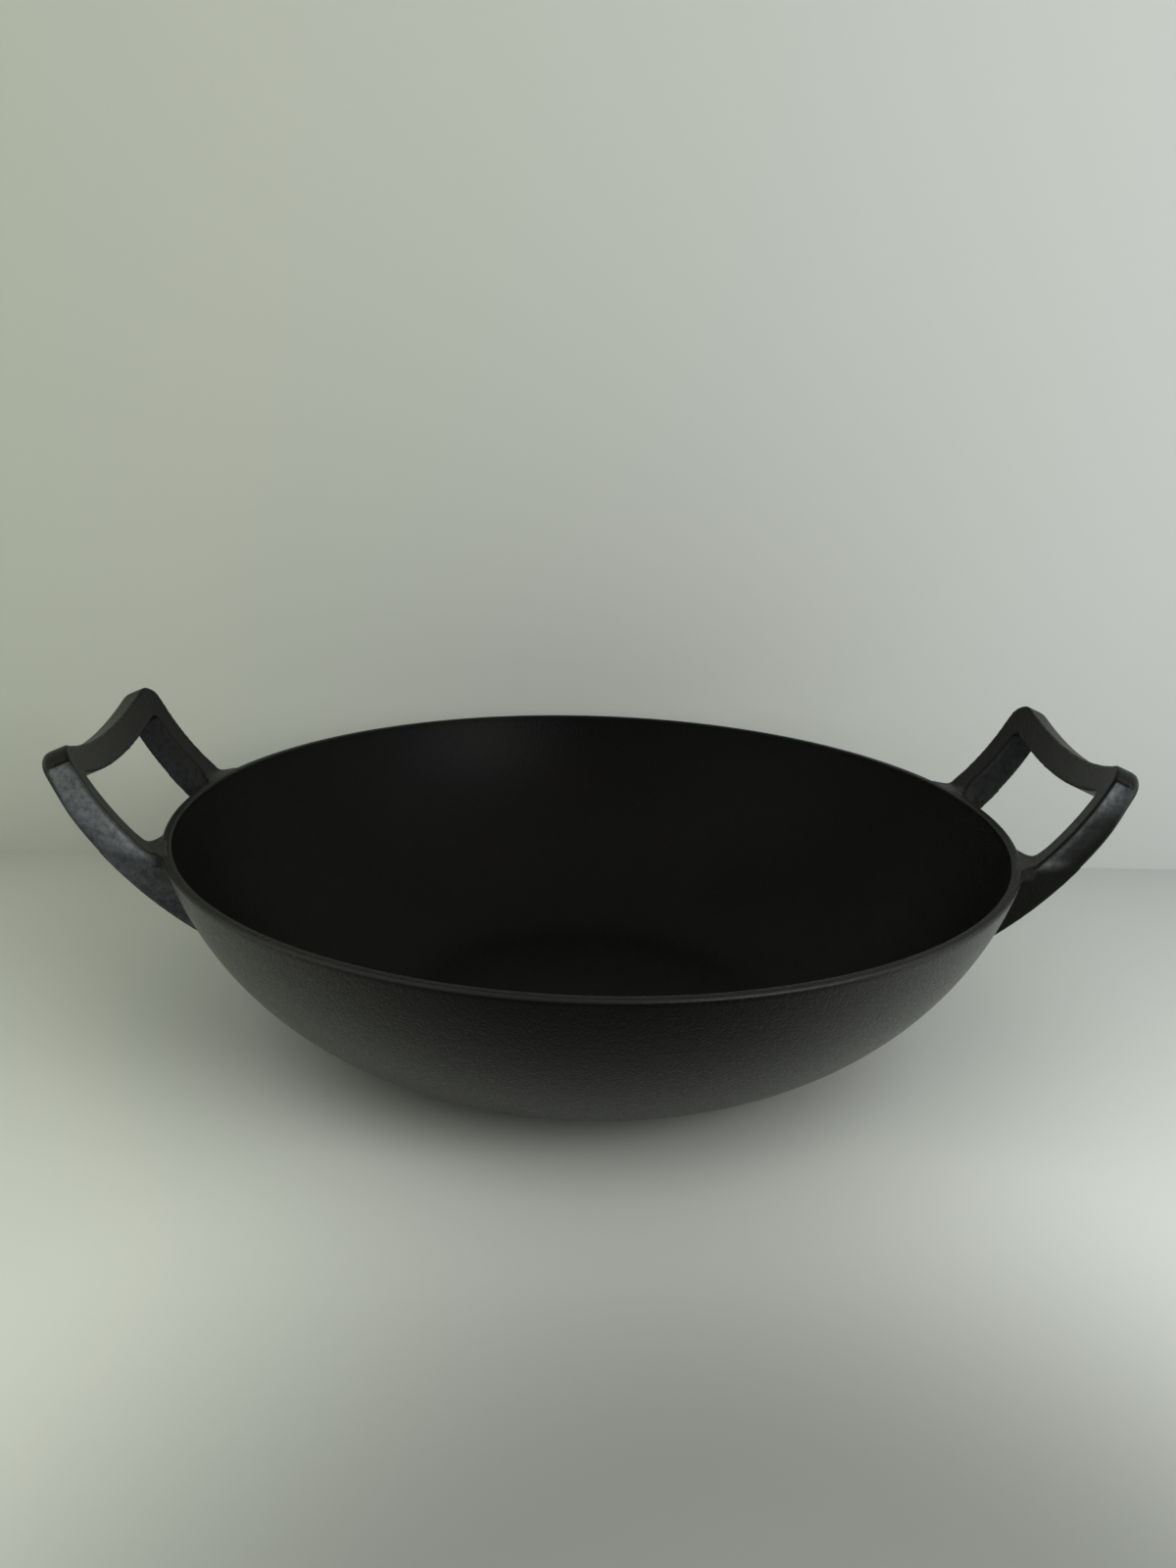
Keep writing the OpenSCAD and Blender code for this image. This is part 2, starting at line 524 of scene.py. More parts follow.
def iron_material(name, finish, base, rough, gloss, tint, dust=0.0, ground=False):
    """Black seasoned cast iron: a sandy casting skin under baked oil."""
    mat = bpy.data.materials.new(name)
    mat.use_nodes = True
    graph = Graph(mat.node_tree)
    iron = graph.nodes["Principled BSDF"]
    place = graph.nodes.new("ShaderNodeTexCoord").outputs["Object"]

    grain = graph.noise(place, finish.grain, detail=3, weight=0.6)
    pits = graph.noise(place, finish.grain * PITS_SHARE, detail=2, weight=0.5)
    clouds = graph.noise(place, CLOUDS, detail=3, weight=0.5)
    browner = [c * factor for c, factor in zip(base, BROWNER)]
    cloudy = graph.ramp(clouds, low=0.35, high=0.65, start=0, end=1)
    colour = graph.mix(cloudy, base, browner)
    speckled = graph.ramp(grain, low=0.64, high=0.80, start=0, end=0.5)
    colour = graph.mix(speckled, colour, [c * LIGHTER for c in base])
    if dust:
        specks = graph.nodes.new("ShaderNodeTexVoronoi")
        specks.inputs["Scale"].default_value = 1 / DUST_SPACING
        graph.links.new(place, specks.inputs["Vector"])
        distance = specks.outputs["Distance"]
        dusty = graph.ramp(distance, low=0.035, high=0.06, start=dust, end=0)
        colour = graph.mix(dusty, colour, DUST_COLOUR)
    # The ground mark: bare iron, with painted reflection in its strength on each
    # handle.
    if ground:
        marked = graph.nodes.new("ShaderNodeAttribute")
        marked.attribute_type = "GEOMETRY"
        marked.attribute_name = "ground"
        mottle = graph.noise(place, MOTTLE, detail=5, weight=0.7)
        mottle = graph.ramp(mottle, low=0.36, high=0.64, start=0.25, end=1)
        mottle = graph.calculate("POWER", mottle, MOTTLE_POWER)
        bare = graph.calculate("MULTIPLY", marked.outputs["Fac"], mottle)
        colour = graph.mix(bare, colour, finish.worn)
        graph.links.new(bare, iron.inputs["Metallic"])

    least, most = rough - ROUGH_SPREAD, rough + ROUGH_SPREAD
    roughness = graph.ramp(grain, low=0.3, high=0.7, start=least, end=most)
    graph.links.new(colour, iron.inputs["Base Color"])
    graph.links.new(roughness, iron.inputs["Roughness"])
    iron.inputs["IOR"].default_value = gloss
    iron.inputs["Specular Tint"].default_value = (tint, tint, tint, 1)

    below = None
    for height, strength in ((grain, GRAIN_BUMP), (pits, PITS_BUMP)):
        bump = graph.nodes.new("ShaderNodeBump")
        bump.inputs["Strength"].default_value = strength
        bump.inputs["Distance"].default_value = BUMP_HEIGHT
        graph.links.new(height, bump.inputs["Height"])
        if below is not None:
            graph.links.new(below, bump.inputs["Normal"])
        below = bump.outputs["Normal"]
    graph.links.new(below, iron.inputs["Normal"])
    return mat


# ------------------------------------------------------------------- bowl

# Steps across a floor and around an edge, and points along the outer wall, the inner
# wall and the blend.
FLOOR_STEPS, EDGE_STEPS = 10, 6
OUTER_POINTS, INNER_POINTS, BLEND_POINTS = 72, 64, 12

# The order of the bowl's materials.
OUTSIDE, INSIDE, EDGE = range(3)

# The rubbed part of the lip, in shares of its edge's radius: how far it reaches down
# from the top, and where it starts and ends on the way out.
RUBBED_DOWN, RUBBED_START, RUBBED_END = 0.9, 0.3, 0.98


class WOK_OT_bowl(bpy.types.Operator):
    """Spins the bowl with its floor, wall and rim in one closed skin"""

    bl_idname = "wok.bowl"
    bl_label = "Bowl"

    def execute(self, context):
        b = context.scene.wok_bowl
        s = Section(b)
        edge, quarter = b.edge_radius, math.pi / 2
        # The section runs from the axis under the floor, up the outside, over the rim
        # and down the inside to the axis.
        path = [(b.base_radius * i / FLOOR_STEPS, 0.0) for i in range(FLOOR_STEPS)]
        nose = s.outer - b.base_edge
        tip_x = s.cx + math.sqrt(nose**2 - (s.cz - b.base_edge) ** 2)
        tip_angle = math.atan2(tip_x - s.cx, s.cz - b.base_edge)
        tip = (tip_x, b.base_edge)
        path += arc_points(tip, b.base_edge, -quarter, tip_angle - quarter, EDGE_STEPS)
        lip_z = b.height - edge
        lip_angle = math.acos((s.cz - lip_z) / s.outer)
        path += s.arc(s.outer, np.linspace(tip_angle, lip_angle, OUTER_POINTS)[1:])
        lip_x = path[-1][0] - edge
        path += arc_points((lip_x, lip_z), edge, 0, quarter, EDGE_STEPS)[1:]
        inner_angle = math.acos((s.cz - lip_z) / s.inner)
        inner_x = s.cx + s.inner * math.sin(inner_angle) + edge
        path += arc_points((inner_x, lip_z), edge, quarter, math.pi, EDGE_STEPS)
        path += s.arc(s.inner, np.linspace(inner_angle, s.touch, INNER_POINTS)[1:])
        blend_angles = np.linspace(s.touch, 0, BLEND_POINTS)[1:]
        path += hanging_arc(s.floor_x, s.blend_z, s.blend, blend_angles)
        for i in reversed(range(FLOOR_STEPS)):
            path.append((s.floor_x * i / FLOOR_STEPS, b.floor))

        bm = bmesh.new()
        verts = [bm.verts.new((x, 0, z)) for x, z in path]
        edges = [bm.edges.new(pair) for pair in zip(verts, verts[1:])]
        bmesh.ops.spin(
            bm,
            geom=verts + edges,
            cent=(0, 0, 0),
            axis=(0, 0, 1),
            angle=2 * math.pi,
            steps=b.steps,
            use_merge=True,
        )
        bmesh.ops.remove_doubles(bm, verts=bm.verts, dist=MERGE)
        bmesh.ops.recalc_face_normals(bm, faces=bm.faces)
        check_closed(bm, "bowl")
        piece = link_mesh("bowl", bm)
        self.dress(piece, context.scene.wok_finish)
        # The lip's outer edge is rubbed brighter than the skin beside it.
        start, end = lip_x + edge * RUBBED_START, lip_x + edge * RUBBED_END
        for face in piece.data.polygons:
            c = face.center
            out = math.hypot(c.x, c.y)
            if c.z > b.height - edge * RUBBED_DOWN and start < out < end:
                face.material_index = EDGE
            elif c.z > b.floor / 2 and out < s.radius_at(c.z, edge):
                face.material_index = INSIDE
            else:
                face.material_index = OUTSIDE
        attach(piece, "root")
        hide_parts(*BOWL_NODES)
        return {"FINISHED"}

    def dress(self, piece, finish):
        """Gives the bowl its materials, in the order OUTSIDE, INSIDE, EDGE."""
        for name, base, look in (
            ("seasoned_iron_outside", finish.iron, OUTSIDE_LOOK),
            ("seasoned_iron_inside", finish.cooking, INSIDE_LOOK),
            ("seasoned_iron_edge", finish.iron, EDGE_LOOK),
        ):
            mat = iron_material(name, finish, tuple(base), **look)
            piece.data.materials.append(mat)


# ---------------------------------------------------------------- handles

# All lengths below are in metres, and levels are measured from the rim's level.

# The landing between rim and arm: its level, and how softly the arm rises from it.
LANDING_DROP, LANDING_SOFT = 0.0003, 0.0012

# A fillet's root lies this far inside the arm and the rim. The fillet is LIP thick at
# its free edge, and LIP_GROWTH times the way inwards thicker towards the root. It has
# so many faces along its arc, and from there to its root.
FILLET_ROOT = 0.003
LIP, LIP_GROWTH = 0.002, 0.9
FILLET_ALONG, FILLET_INWARDS = 14, 12

# Slabs of wall for an arm to run into: how deep their two faces lie under the skin,
# where they begin, from straight down, and their steps. Then for each slab how far it
# reaches past the arm's inner side, past its outer side, and up to the rim.
SLAB_TOP, SLAB_BOTTOM = 0.00006, 0.0026
SLAB_START = math.radians(50)
SLAB_STEPS = 24
SLABS = ((0.013, 0.008, 0.0016), (0.004, 0.004, 0.0002))

# The hollow behind the flange: its width at the rim's level and its growth per metre
# above, the span of its front edge about the flange's edge, its run-out to the back,
# and the levels between which it begins.
HOLLOW_WIDTH, HOLLOW_GROWTH = 0.0045, 0.14
HOLLOW_FRONT = (-0.0002, 0.0006)
HOLLOW_RUN_OUT = 0.0065
HOLLOW_FOOT = (-0.003, 0.002)

# A side is what faces sideways by this share, down to this far below the rim. It
# takes in this much on the metal's side of its plane, and this much off it.
SIDE_SHARE, SIDE_FOOT = 0.75, 0.012
SIDE_IN, SIDE_OFF = 0.0012, 0.0003

# The upper end of a hollow: the span of its edge below the cap outside, and below the
# grip inside, where nothing nearer to the grip than INNER_GAP is touched.
CAP_EDGE = 0.0009
INNER_GAP = 0.004
INNER_EDGE = (0.0045, 0.006)

# The cast edges' radius, where along the outline the larger roll fades in, and how
# often the whole skin is smoothed.
CAST_EDGE = 0.0006
ROLL_SPAN = (-0.030, -0.008)
SOFTENINGS = 5

# What counts as ground: the share of facing sideways, the distance from the plane of
# the outer and of the inner side, and the level that the inner side starts at.
GROUND_SHARE = (0.75, 0.95)
GROUND_OUTER = (-0.003, -0.0015)
GROUND_INNER = (0.0015, 0.003)
GROUND_LEVEL = (-0.016, -0.004)

# Where the ground and painted-reflection mark changes: behind the flange's crest, above
# the left arms' low part, at the right arms' top and foot, and towards the right arms'
# back.
CREST_SPAN = (0.0020, 0.0048)
LOW_SPAN = (0.012, 0.024)
TOP_SPAN = (0.018, 0.030)
FOOT_SPAN = (0.001, 0.005)
BACK_SPAN = (0.003, 0.009)

# How strongly each part is marked as ground iron, from 0 to 1; the left handle's
# stronger mark and the right one's weaker mark are partly painted reflection. "back" is
# what is lost of the ends' strength towards the back.
LEFT_GROUND_AND_REFLECTION = {"whole": 0.21, "sunk": 0.30, "crest": 0.32, "inner": 0.07}
RIGHT_GROUND_AND_REFLECTION = {
    "whole": 0.05,
    "crest": 0.15,
    "top": 0.40,
    "foot": 0.18,
    "back": 0.6,
    "inner": 0.06,
}


class HandleShape:
    """Measures points of the right handle against its outline and curved faces."""

    def __init__(self, b, h):
        self.h = h
        self.rim_z = b.height
        start = b.rim_radius + h.landing
        self.face_x = start - h.face_curve * math.sin(h.face_slope)
        self.face_z = b.height + h.face_curve * math.cos(h.face_slope)
        self.back_x = start + h.depth - h.back_curve * math.sin(h.back_slope)
        self.back_z = b.height + h.back_curve * math.cos(h.back_slope)
        self.half = h.width / 2 - h.corner
        top = b.height + h.rise
        reach = self.face_x + math.sqrt(h.face_curve**2 - (top - self.face_z) ** 2)
        self.top = np.array([math.sqrt(reach**2 - self.half**2), 0, top])
        self.up = np.array([math.sin(h.lean), 0, math.cos(h.lean)])

    def rise(self, co):
        """How far the points lie up the leaning outline, from the grip's corners."""
        return (co - self.top) @ self.up

    def behind_face(self, co):
        """How far the points lie behind the inner face."""
        out = np.hypot(co[:, 0], co[:, 1])
        away = np.hypot(out - self.face_x, co[:, 2] - self.face_z)
        return away - self.h.face_curve

    def face_height(self, p):
        """Height of the inner face over a point, run softly into the level landing."""
        r = max(math.hypot(p.x, p.y), self.face_x)
        fall = math.sqrt(self.h.face_curve**2 - (r - self.face_x) ** 2)
        rise = self.face_z - self.rim_z - fall
        return self.rim_z - LANDING_DROP + (rise + math.hypot(rise, LANDING_SOFT)) / 2

    def before_back(self, co):
        """How far the points lie before the outer face, and its direction there."""
        r = np.hypot(co[:, 0], co[:, 1])
        away = np.stack([r - self.back_x, co[:, 2] - self.back_z], 1)
        length = np.linalg.norm(away, axis=1)
        away /= length[:, None]
        x, y = co[:, 0] / r * away[:, 0], co[:, 1] / r * away[:, 0]
        return self.h.back_curve - length, np.stack([x, y, away[:, 1]], 1)

    def within_outline(self, co):
        """How far the points lie inside the outline, and its direction there."""
        h = self.h
        v, up = co[:, 1], self.rise(co)
        dip_r = (self.half**2 + h.top_dip**2) / (2 * h.top_dip)
        dip_up = dip_r - h.top_dip
        from_dip = np.hypot(v, up - dip_up)
        corner_v = np.abs(v) - self.half
        corner_up = up + h.corner
        from_corner = np.hypot(corner_v, corner_up)
        reach = np.maximum(from_corner, TINY)
        at_corner = (corner_v > 0) & (corner_up > 0)
        inside = np.where(at_corner, h.corner - from_corner, from_dip - dip_r)
        side = np.where(at_corner, np.sign(v) * corner_v / reach, -v / from_dip)
        rise = np.where(at_corner, corner_up / reach, (dip_up - up) / from_dip)
        on_arm = (corner_v > 0) & (corner_up <= 0)
        inside = np.where(on_arm, h.corner - corner_v, inside)
        side = np.where(on_arm, np.sign(v), side)
        rise = np.where(on_arm, 0.0, rise)
        out = side[:, None] * np.array([0, 1, 0]) + rise[:, None] * self.up
        return inside, out

    def hollow(self, co):
        """1 where an arm's side lies hollow behind the flange, 0 off it."""
        behind, level = self.behind_face(co), co[:, 2] - self.rim_z
        width = HOLLOW_WIDTH + HOLLOW_GROWTH * level
        front = [self.h.flange + span for span in HOLLOW_FRONT]
        mask = fade(behind, *front) * (1 - fade(behind - width, 0, HOLLOW_RUN_OUT))
        return mask * fade(level, *HOLLOW_FOOT)


def rim_fillet(bm, b, shape, line, away):
    """Fills the corner between an arm's side and the rim, up to the inner face.

    The line is the y of the side, and away, 1 or -1, is the way out of the arm.
    """
    ball = shape.h.fillet
    middle = Vector((0, line + away * ball, 0))
    reach = b.rim_radius - b.edge_radius / 2 + ball
    middle.x = math.sqrt(reach**2 - middle.y**2)
    start = -away * math.pi / 2
    end = math.atan2(middle.y, middle.x) - away * math.pi
    root = Vector((0, line - away * FILLET_ROOT, 0))
    root.x = math.sqrt((b.rim_radius - FILLET_ROOT) ** 2 - root.y**2)
    # The grid runs from -0.5 to 0.5 both ways: along the arc, and from it to the root.
    verts = bmesh.ops.create_grid(
        bm, x_segments=FILLET_ALONG, y_segments=FILLET_INWARDS, size=0.5
    )["verts"]
    for v in verts:
        a = start + (end - start) * (v.co.x + 0.5)
        arc = middle + Vector((math.cos(a), math.sin(a), 0)) * ball
        v.co = arc.lerp(root, v.co.y + 0.5)
        v.co.z = shape.face_height(v.co)
    top = list({f for v in verts for f in v.link_faces})
    edges = list({e for f in top for e in f.edges})
    made = bmesh.ops.extrude_face_region(
        bm, geom=top + edges + verts, use_keep_orig=True
    )["geom"]
    # The fillet thickens towards its root, as a bracket does.
    for v in made:
        if isinstance(v, bmesh.types.BMVert):
            deep = math.hypot(v.co.x - middle.x, v.co.y - middle.y) - ball
            v.co.z = b.height - LIP - LIP_GROWTH * deep


def wall_slab(bm, b, from_y, to_y, top):
    """A slab just under the wall's skin, for an arm's root to run into."""
    s = Section(b)
    angles = np.linspace(SLAB_START, math.acos((s.cz - top) / s.outer), SLAB_STEPS)
    path = s.arc(s.outer - SLAB_TOP, angles)
    path += s.arc(s.outer - SLAB_BOTTOM, angles[::-1])
    start, end = sorted(math.asin(y / b.rim_radius) for y in (from_y, to_y))
    verts = [
        bm.verts.new((r * math.cos(start), r * math.sin(start), z)) for r, z in path
    ]
    bmesh.ops.spin(
        bm,
        geom=[bm.faces.new(verts)],
        cent=(0, 0, 0),
        axis=(0, 0, 1),
        angle=end - start,
        steps=SLAB_STEPS,
        use_duplicate=False,
    )


class WOK_OT_handles(bpy.types.Operator):
    """Joins each handle's sections, runs them into the wall and rounds the edges"""

    bl_idname = "wok.handles"
    bl_label = "Handles"

    def execute(self, context):
        b, h = context.scene.wok_bowl, context.scene.wok_handle
        finish = context.scene.wok_finish
        shape = HandleShape(b, h)
        bm = bmesh.new()
        self.add_sections(bm, h)
        self.add_wall(bm, b, shape)
        bm = self.join(context, bm, h)
        self.hollow_sides(bm, shape)
        self.round_back(bm, shape)
        for _ in range(SOFTENINGS):
            bmesh.ops.smooth_vert(
                bm,
                verts=bm.verts,
                factor=0.5,
                use_axis_x=True,
                use_axis_y=True,
                use_axis_z=True,
            )
        for v in bm.verts:
            v.co.z = min(v.co.z, b.height + h.rise)
        check_closed(bm, "handle")
        base = tuple(finish.iron)
        mat = iron_material("seasoned_iron_handle", finish, base, **HANDLE_LOOK)
        for side, turn in (("right", 0.0), ("left", math.pi)):
            one = bm.copy()
            matrix = Matrix.Rotation(turn, 3, "Z")
            bmesh.ops.rotate(one, verts=one.verts, cent=(0, 0, 0), matrix=matrix)
            piece = link_mesh(side + "_handle", one)
            piece.data.materials.append(mat)
            self.mark_ground_and_reflection(piece, shape, side)
            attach(piece, "root")
            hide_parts(*[side + "_" + part for part in HANDLE_PARTS])
        bm.free()
        return {"FINISHED"}

    def add_sections(self, bm, h):
        """Adds copies of the right handle's sections, swollen a hair to overlap."""
        for part in HANDLE_PARTS:
            section = bmesh.new()
            section.from_mesh(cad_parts["right_" + part].data)
            bmesh.ops.remove_doubles(section, verts=section.verts, dist=MERGE)
            section.normal_update()
            for v in section.verts:
                v.co += v.normal * h.overlap
            held = bpy.data.meshes.new(part)
            section.to_mesh(held)
            section.free()
            bm.from_mesh(held)
            bpy.data.meshes.remove(held)

    def add_wall(self, bm, b, shape):
        """Adds the wall behind both arms, and the fillets between them and the rim."""
        outer = shape.h.width / 2
        inner = outer - shape.h.arm
        for side in (-1, 1):
            for inwards, outwards, below in SLABS:
                ends = side * (inner - inwards), side * (outer + outwards)
                wall_slab(bm, b, *ends, b.height - below)
            rim_fillet(bm, b, shape, side * inner, -side)
            rim_fillet(bm, b, shape, side * outer, side)

    def join(self, context, bm, h):
        """Merges everything in a bmesh into one skin of fine, even faces."""
        bmesh.ops.recalc_face_normals(bm, faces=bm.faces)
        raw = link_mesh("handle_parts", bm)
        remesh = raw.modifiers.new("join", "REMESH")
        remesh.mode = "VOXEL"
        remesh.voxel_size = h.voxel
        remesh.adaptivity = 0
        made = raw.evaluated_get(context.evaluated_depsgraph_get())
        joined = bpy.data.meshes.new_from_object(made)
        bpy.data.objects.remove(raw)
        skin = bmesh.new()
        skin.from_mesh(joined)
        bpy.data.meshes.remove(joined)
        return skin

    def round_back(self, bm, shape):
        """Rolls the edge between outline and outer face over a larger radius."""
        co = np.array([v.co for v in bm.verts])
        inside, outward = shape.within_outline(co)
        before, backward = shape.before_back(co)
        high = fade(shape.rise(co), *ROLL_SPAN)
        radius = shape.h.back_round * high + CAST_EDGE
        out, back = radius - inside, radius - before
        reach = np.hypot(np.maximum(out, 0), np.maximum(back, 0))
        over = (out > 0) & (back > 0) & (reach > radius) & (co[:, 2] > shape.rim_z)
        pull = np.where(over, 1 - radius / np.maximum(reach, TINY), 0)
        co = co - outward * (out * pull)[:, None] - backward * (back * pull)[:, None]
        for v, p in zip(bm.verts, co):
            v.co = p

    def hollow_sides(self, bm, shape):
        """Sinks the arm sides behind the flange, and runs them out to the back."""
        h = shape.h
        co = np.array([v.co for v in bm.verts])
        bm.normal_update()
        no = np.array([v.normal for v in bm.verts])
        v, up = np.abs(co[:, 1]), shape.rise(co)
        depth = shape.hollow(co) * h.hollow
        outer, inner = h.width / 2, h.width / 2 - h.arm
        on_side = np.abs(no[:, 1]) > SIDE_SHARE
        on_side &= co[:, 2] > shape.rim_z - SIDE_FOOT
        on_outer = on_side & (v > outer - SIDE_IN) & (v < outer + SIDE_OFF)
        on_inner = on_side & (v < inner + SIDE_IN) & (v > inner - SIDE_OFF)
        on_inner &= up < -h.grip - INNER_GAP
        below_cap = fade(-up, h.cap, h.cap + CAP_EDGE)
        below_grip = fade(-up, *[h.grip + span for span in INNER_EDGE])
        v = np.where(on_outer, outer - depth * below_cap, v)
        v = np.where(on_inner, inner + depth * below_grip, v)
        for vert, y in zip(bm.verts, np.sign(co[:, 1]) * v):
            vert.co.y = y

    def mark_ground_and_reflection(self, piece, shape, side):
        """Marks how strongly the arm sides were ground after casting, from 0 to 1, with
        painted reflection in the difference between left and right.
        """
        h, mesh = shape.h, piece.data
        co, no = (np.zeros(len(mesh.vertices) * 3) for _ in range(2))
        mesh.vertices.foreach_get("co", co)
        mesh.vertices.foreach_get("normal", no)
        co, no = co.reshape(-1, 3), no.reshape(-1, 3)
        if side == "left":
            co = co * (-1, -1, 1)
        outer_v, level = np.abs(co[:, 1]) - h.width / 2, co[:, 2] - shape.rim_z
        behind, hollow = shape.behind_face(co), shape.hollow(co)
        sideways = fade(np.abs(no[:, 1]), *GROUND_SHARE)
        inner = sideways * (1 - fade(outer_v + h.arm, *GROUND_INNER))
        inner *= fade(level, *GROUND_LEVEL)
        outer = sideways * fade(outer_v, *GROUND_OUTER)
        outer *= fade(-shape.rise(co), h.cap, h.cap + CAP_EDGE)
        crest = 1 - fade(behind, *CREST_SPAN)
        # Both were ground by hand: the left handle all along its arms, most of all low
        # down by the flange, and the right one mostly at the ends of its arms. The left
        # arms' stronger mark and the right arms' weaker one are partly painted
        # reflection.
        if side == "left":
            share = LEFT_GROUND_AND_REFLECTION
            low = 1 - fade(level, *LOW_SPAN)
            sunk = share["sunk"] + share["crest"] * crest * low
            mask = outer * (share["whole"] + sunk * hollow)
        else:
            share = RIGHT_GROUND_AND_REFLECTION
            ends = share["top"] * fade(level, *TOP_SPAN)
            ends += share["foot"] * (1 - fade(level, *FOOT_SPAN))
            ends *= 1 - share["back"] * fade(behind, *BACK_SPAN)
            mask = outer * (share["whole"] + share["crest"] * crest + ends) * hollow
        mask += share["inner"] * inner
        layer = mesh.attributes.new("ground", "FLOAT", "POINT")
        layer.data.foreach_set("value", mask.astype(np.float32))


# ------------------------------------------------------------------ stage

# The width of the camera's sensor in millimetres, and the nearest it sees in metres.
SENSOR_WIDTH = 36
NEAREST = 0.01

# The room's light by direction: its sum of upwards and backwards, its share for
# either side, the span of that sum, and the dim end as a share of the bright one.
ROOM_AHEAD = (0.0, 0.45, 0.55)
ROOM_SIDES = 1.1
ROOM_SPAN = (-0.3, 1.15)
ROOM_DIM = 0.34

# The board's finish, and how far left and right its tint changes.
BOARD_ROUGH, BOARD_GLOSS = 0.55, 1.3
TINT_SPAN = 0.35

# Soft round shadows painted into the table's colour: a painted shadow of the
# photographer in front and a painted shadow of the wok under it. Each has its centre,
# where it starts to fade, where it ends, and its darkest tone.
PAINTED_SHADOWS = (((0.03, -0.36, 0), 0.09, 0.28, 0.38), ((0, 0, 0), 0.08, 0.155, 0.5))

# The painted change of tone where the table passes under the backdrop is this wide.
FOLD_WIDTH = 0.0004


class WOK_OT_stage(bpy.types.Operator):
    """Sets the pale table and backdrop, the room's light, the lamp and the camera"""

    bl_idname = "wok.stage"
    bl_label = "Stage"

    def execute(self, context):
        scene = context.scene
        st = scene.wok_stage
        # Both sheets carry painted shade by the fold where they meet, darker towards it
        # within a reach. Behind the backdrop the table lies in the open room's light,
        # so there its tone is painted lower to even out that light.
        self.add_sheet(
            "table",
            st,
            size=2.0,
            place=(0, 0, -0.0002),
            turn=0.0,
            axis="Y",
            fold=st.wall_y,
            reach=0.32,
            dim=0.60,
            tone=1.0,
            rear=0.6,
        )
        self.add_sheet(
            "backdrop",
            st,
            size=1.5,
            place=(0, st.wall_y, 1.4),
            turn=math.pi / 2,
            axis="Z",
            fold=0.0,
            reach=0.16,
            dim=0.73,
            tone=0.74,
            rear=1.0,
        )
        self.add_camera(scene, st)
        self.add_lamp(scene, st)
        self.light_room(scene, st)
        scene.view_settings.view_transform = "Standard"
        return {"FINISHED"}

    def add_sheet(self, name, st, size, place, turn, **tones):
        """Sets up one square sheet of board, turned about the X axis."""
        bm = bmesh.new()
        bmesh.ops.create_grid(bm, x_segments=1, y_segments=1, size=size)
        matrix = Matrix.Rotation(turn, 3, "X")
        bmesh.ops.rotate(bm, verts=bm.verts, cent=(0, 0, 0), matrix=matrix)
        bmesh.ops.translate(bm, vec=place, verts=bm.verts)
        sheet = link_mesh(name, bm)
        sheet.data.materials.append(self.pale_material("pale_" + name, st, **tones))

    def add_camera(self, scene, st):
        """Places the camera where the photo was taken from."""
        cam = bpy.data.cameras.new("camera")
        cam.sensor_width = SENSOR_WIDTH
        cam.lens = st.lens
        cam.clip_start = NEAREST
        eye = bpy.data.objects.new("camera", cam)
        eye.location = st.place
        eye.rotation_euler = st.turn
        scene.collection.objects.link(eye)
        scene.camera = eye

    def add_lamp(self, scene, st):
        """Hangs one soft round lamp that faces the wok."""
        light = bpy.data.lights.new("soft_lamp", "AREA")
        light.shape = "DISK"
        light.size = st.lamp_size
        light.energy = st.lamp_power
        lamp = bpy.data.objects.new("soft_lamp", light)
        lamp.location = st.lamp_place
        aim = -Vector(st.lamp_place)
        lamp.rotation_euler = aim.to_track_quat("-Z", "Y").to_euler()
        scene.collection.objects.link(lamp)

    def light_room(self, scene, st):
        """Lights the room brightly above and beside, and dimly low in front."""
        world = bpy.data.worlds.new("room")
        world.use_nodes = True
        graph = Graph(world.node_tree)
        room = graph.nodes["Background"]
        room.inputs["Color"].default_value = (*st.room, 1)
        towards = graph.nodes.new("ShaderNodeTexCoord").outputs["Generated"]
        split = graph.nodes.new("ShaderNodeSeparateXYZ")
        graph.links.new(towards, split.inputs["Vector"])
        beside = graph.calculate("ABSOLUTE", split.outputs["X"])
        ahead = graph.vector("DOT_PRODUCT", towards, ROOM_AHEAD).outputs["Value"]
        facing = graph.calculate("MULTIPLY_ADD", beside, ROOM_SIDES, ahead)
        bright = st.room_light
        glow = graph.ramp(facing, *ROOM_SPAN, ROOM_DIM * bright, bright, smooth=True)
        graph.links.new(glow, room.inputs["Strength"])
        scene.world = world

    def pale_material(self, name, st, axis, fold, reach, dim, tone, rear):
        """Pale satin board, a little greener and darker on the left, with painted shade
        by the fold and painted shadows, and clear from behind.
        """
        mat = bpy.data.materials.new(name)
        mat.use_nodes = True
        graph = Graph(mat.node_tree)
        board = graph.nodes["Principled BSDF"]
        board.inputs["Roughness"].default_value = BOARD_ROUGH
        board.inputs["IOR"].default_value = BOARD_GLOSS
        place = graph.nodes.new("ShaderNodeTexCoord").outputs["Object"]
        across = graph.nodes.new("ShaderNodeSeparateXYZ")
        graph.links.new(place, across.inputs["Vector"])
        # Painted shade on the left and painted light on the right, with the left also
        # greener.
        share = graph.ramp(across.outputs["X"], -TINT_SPAN, TINT_SPAN, 0, 1)
        tint = graph.mix(share, st.left_tint_and_shade, st.right_tint_and_light)

        # Painted shadows: the board's colour is darkened in two soft round pools.
        painted_shadows = []
        for centre, start, end, low in PAINTED_SHADOWS:
            away = graph.vector("DISTANCE", place, centre).outputs["Value"]
            painted_shadows.append(graph.ramp(away, start, end, low, 1, smooth=True))
        painted_shadow = graph.calculate("MULTIPLY", *painted_shadows)
